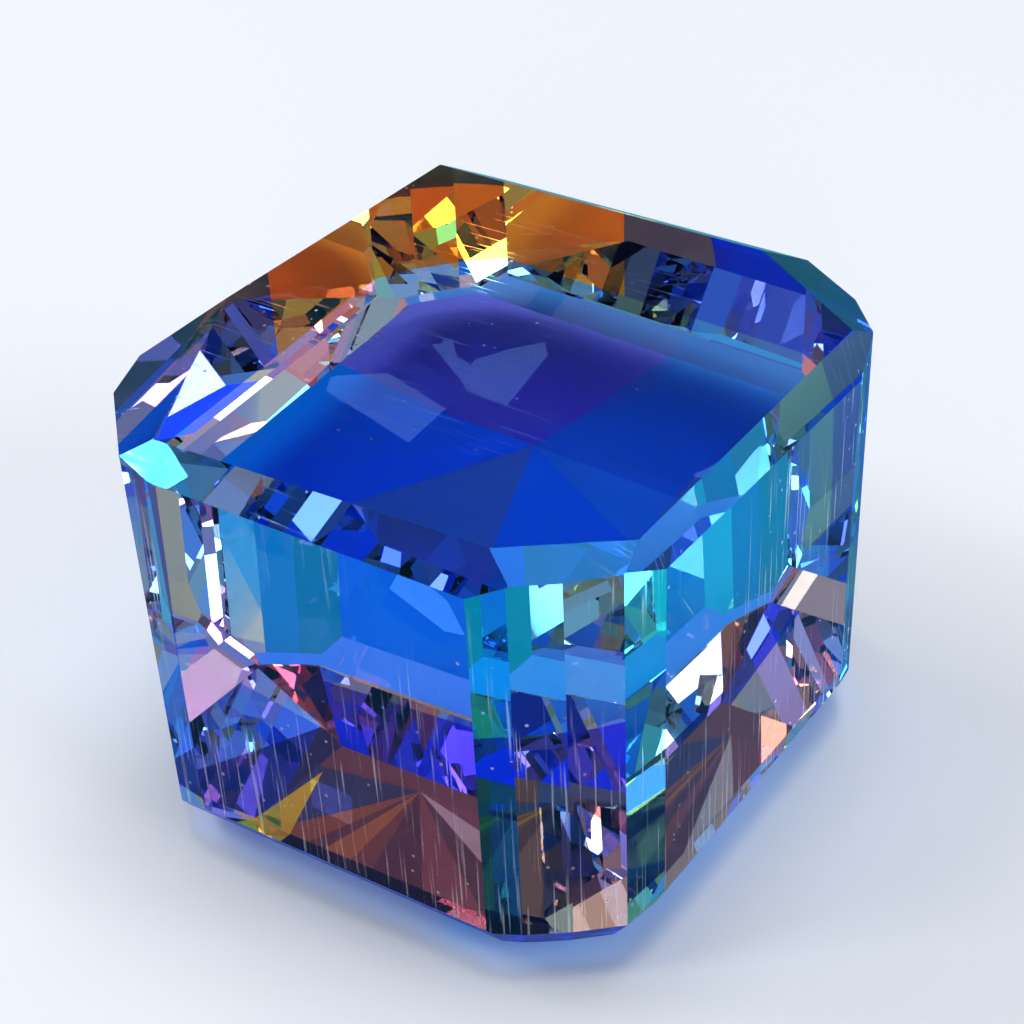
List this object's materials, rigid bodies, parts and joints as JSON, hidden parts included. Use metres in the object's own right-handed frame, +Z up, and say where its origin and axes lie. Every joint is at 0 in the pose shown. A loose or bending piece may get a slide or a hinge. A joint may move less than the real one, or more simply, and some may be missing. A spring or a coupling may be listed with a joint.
{
  "type": "faceted gemstone",
  "caption": "Thick square step-cut mystic topaz with clipped corners, narrow crown bevels and a shallow faceted pavilion that ends in a small flat base facet.",
  "frame": {"origin": "centre of the bounding box at the height of the flat base facet", "axes": "+Z up, out of the table (the large top facet); -Y out of the broad front wall and +X out of the broad right wall, so the clipped corner that faces the picture's camera points to +X -Y"},
  "size_m": [0.02, 0.0208, 0.0158],
  "materials": {
    "coated_topaz": "polished"
  },
  "bodies": {
    "root": {"topaz": "coated_topaz"}
  },
  "joints": []
}
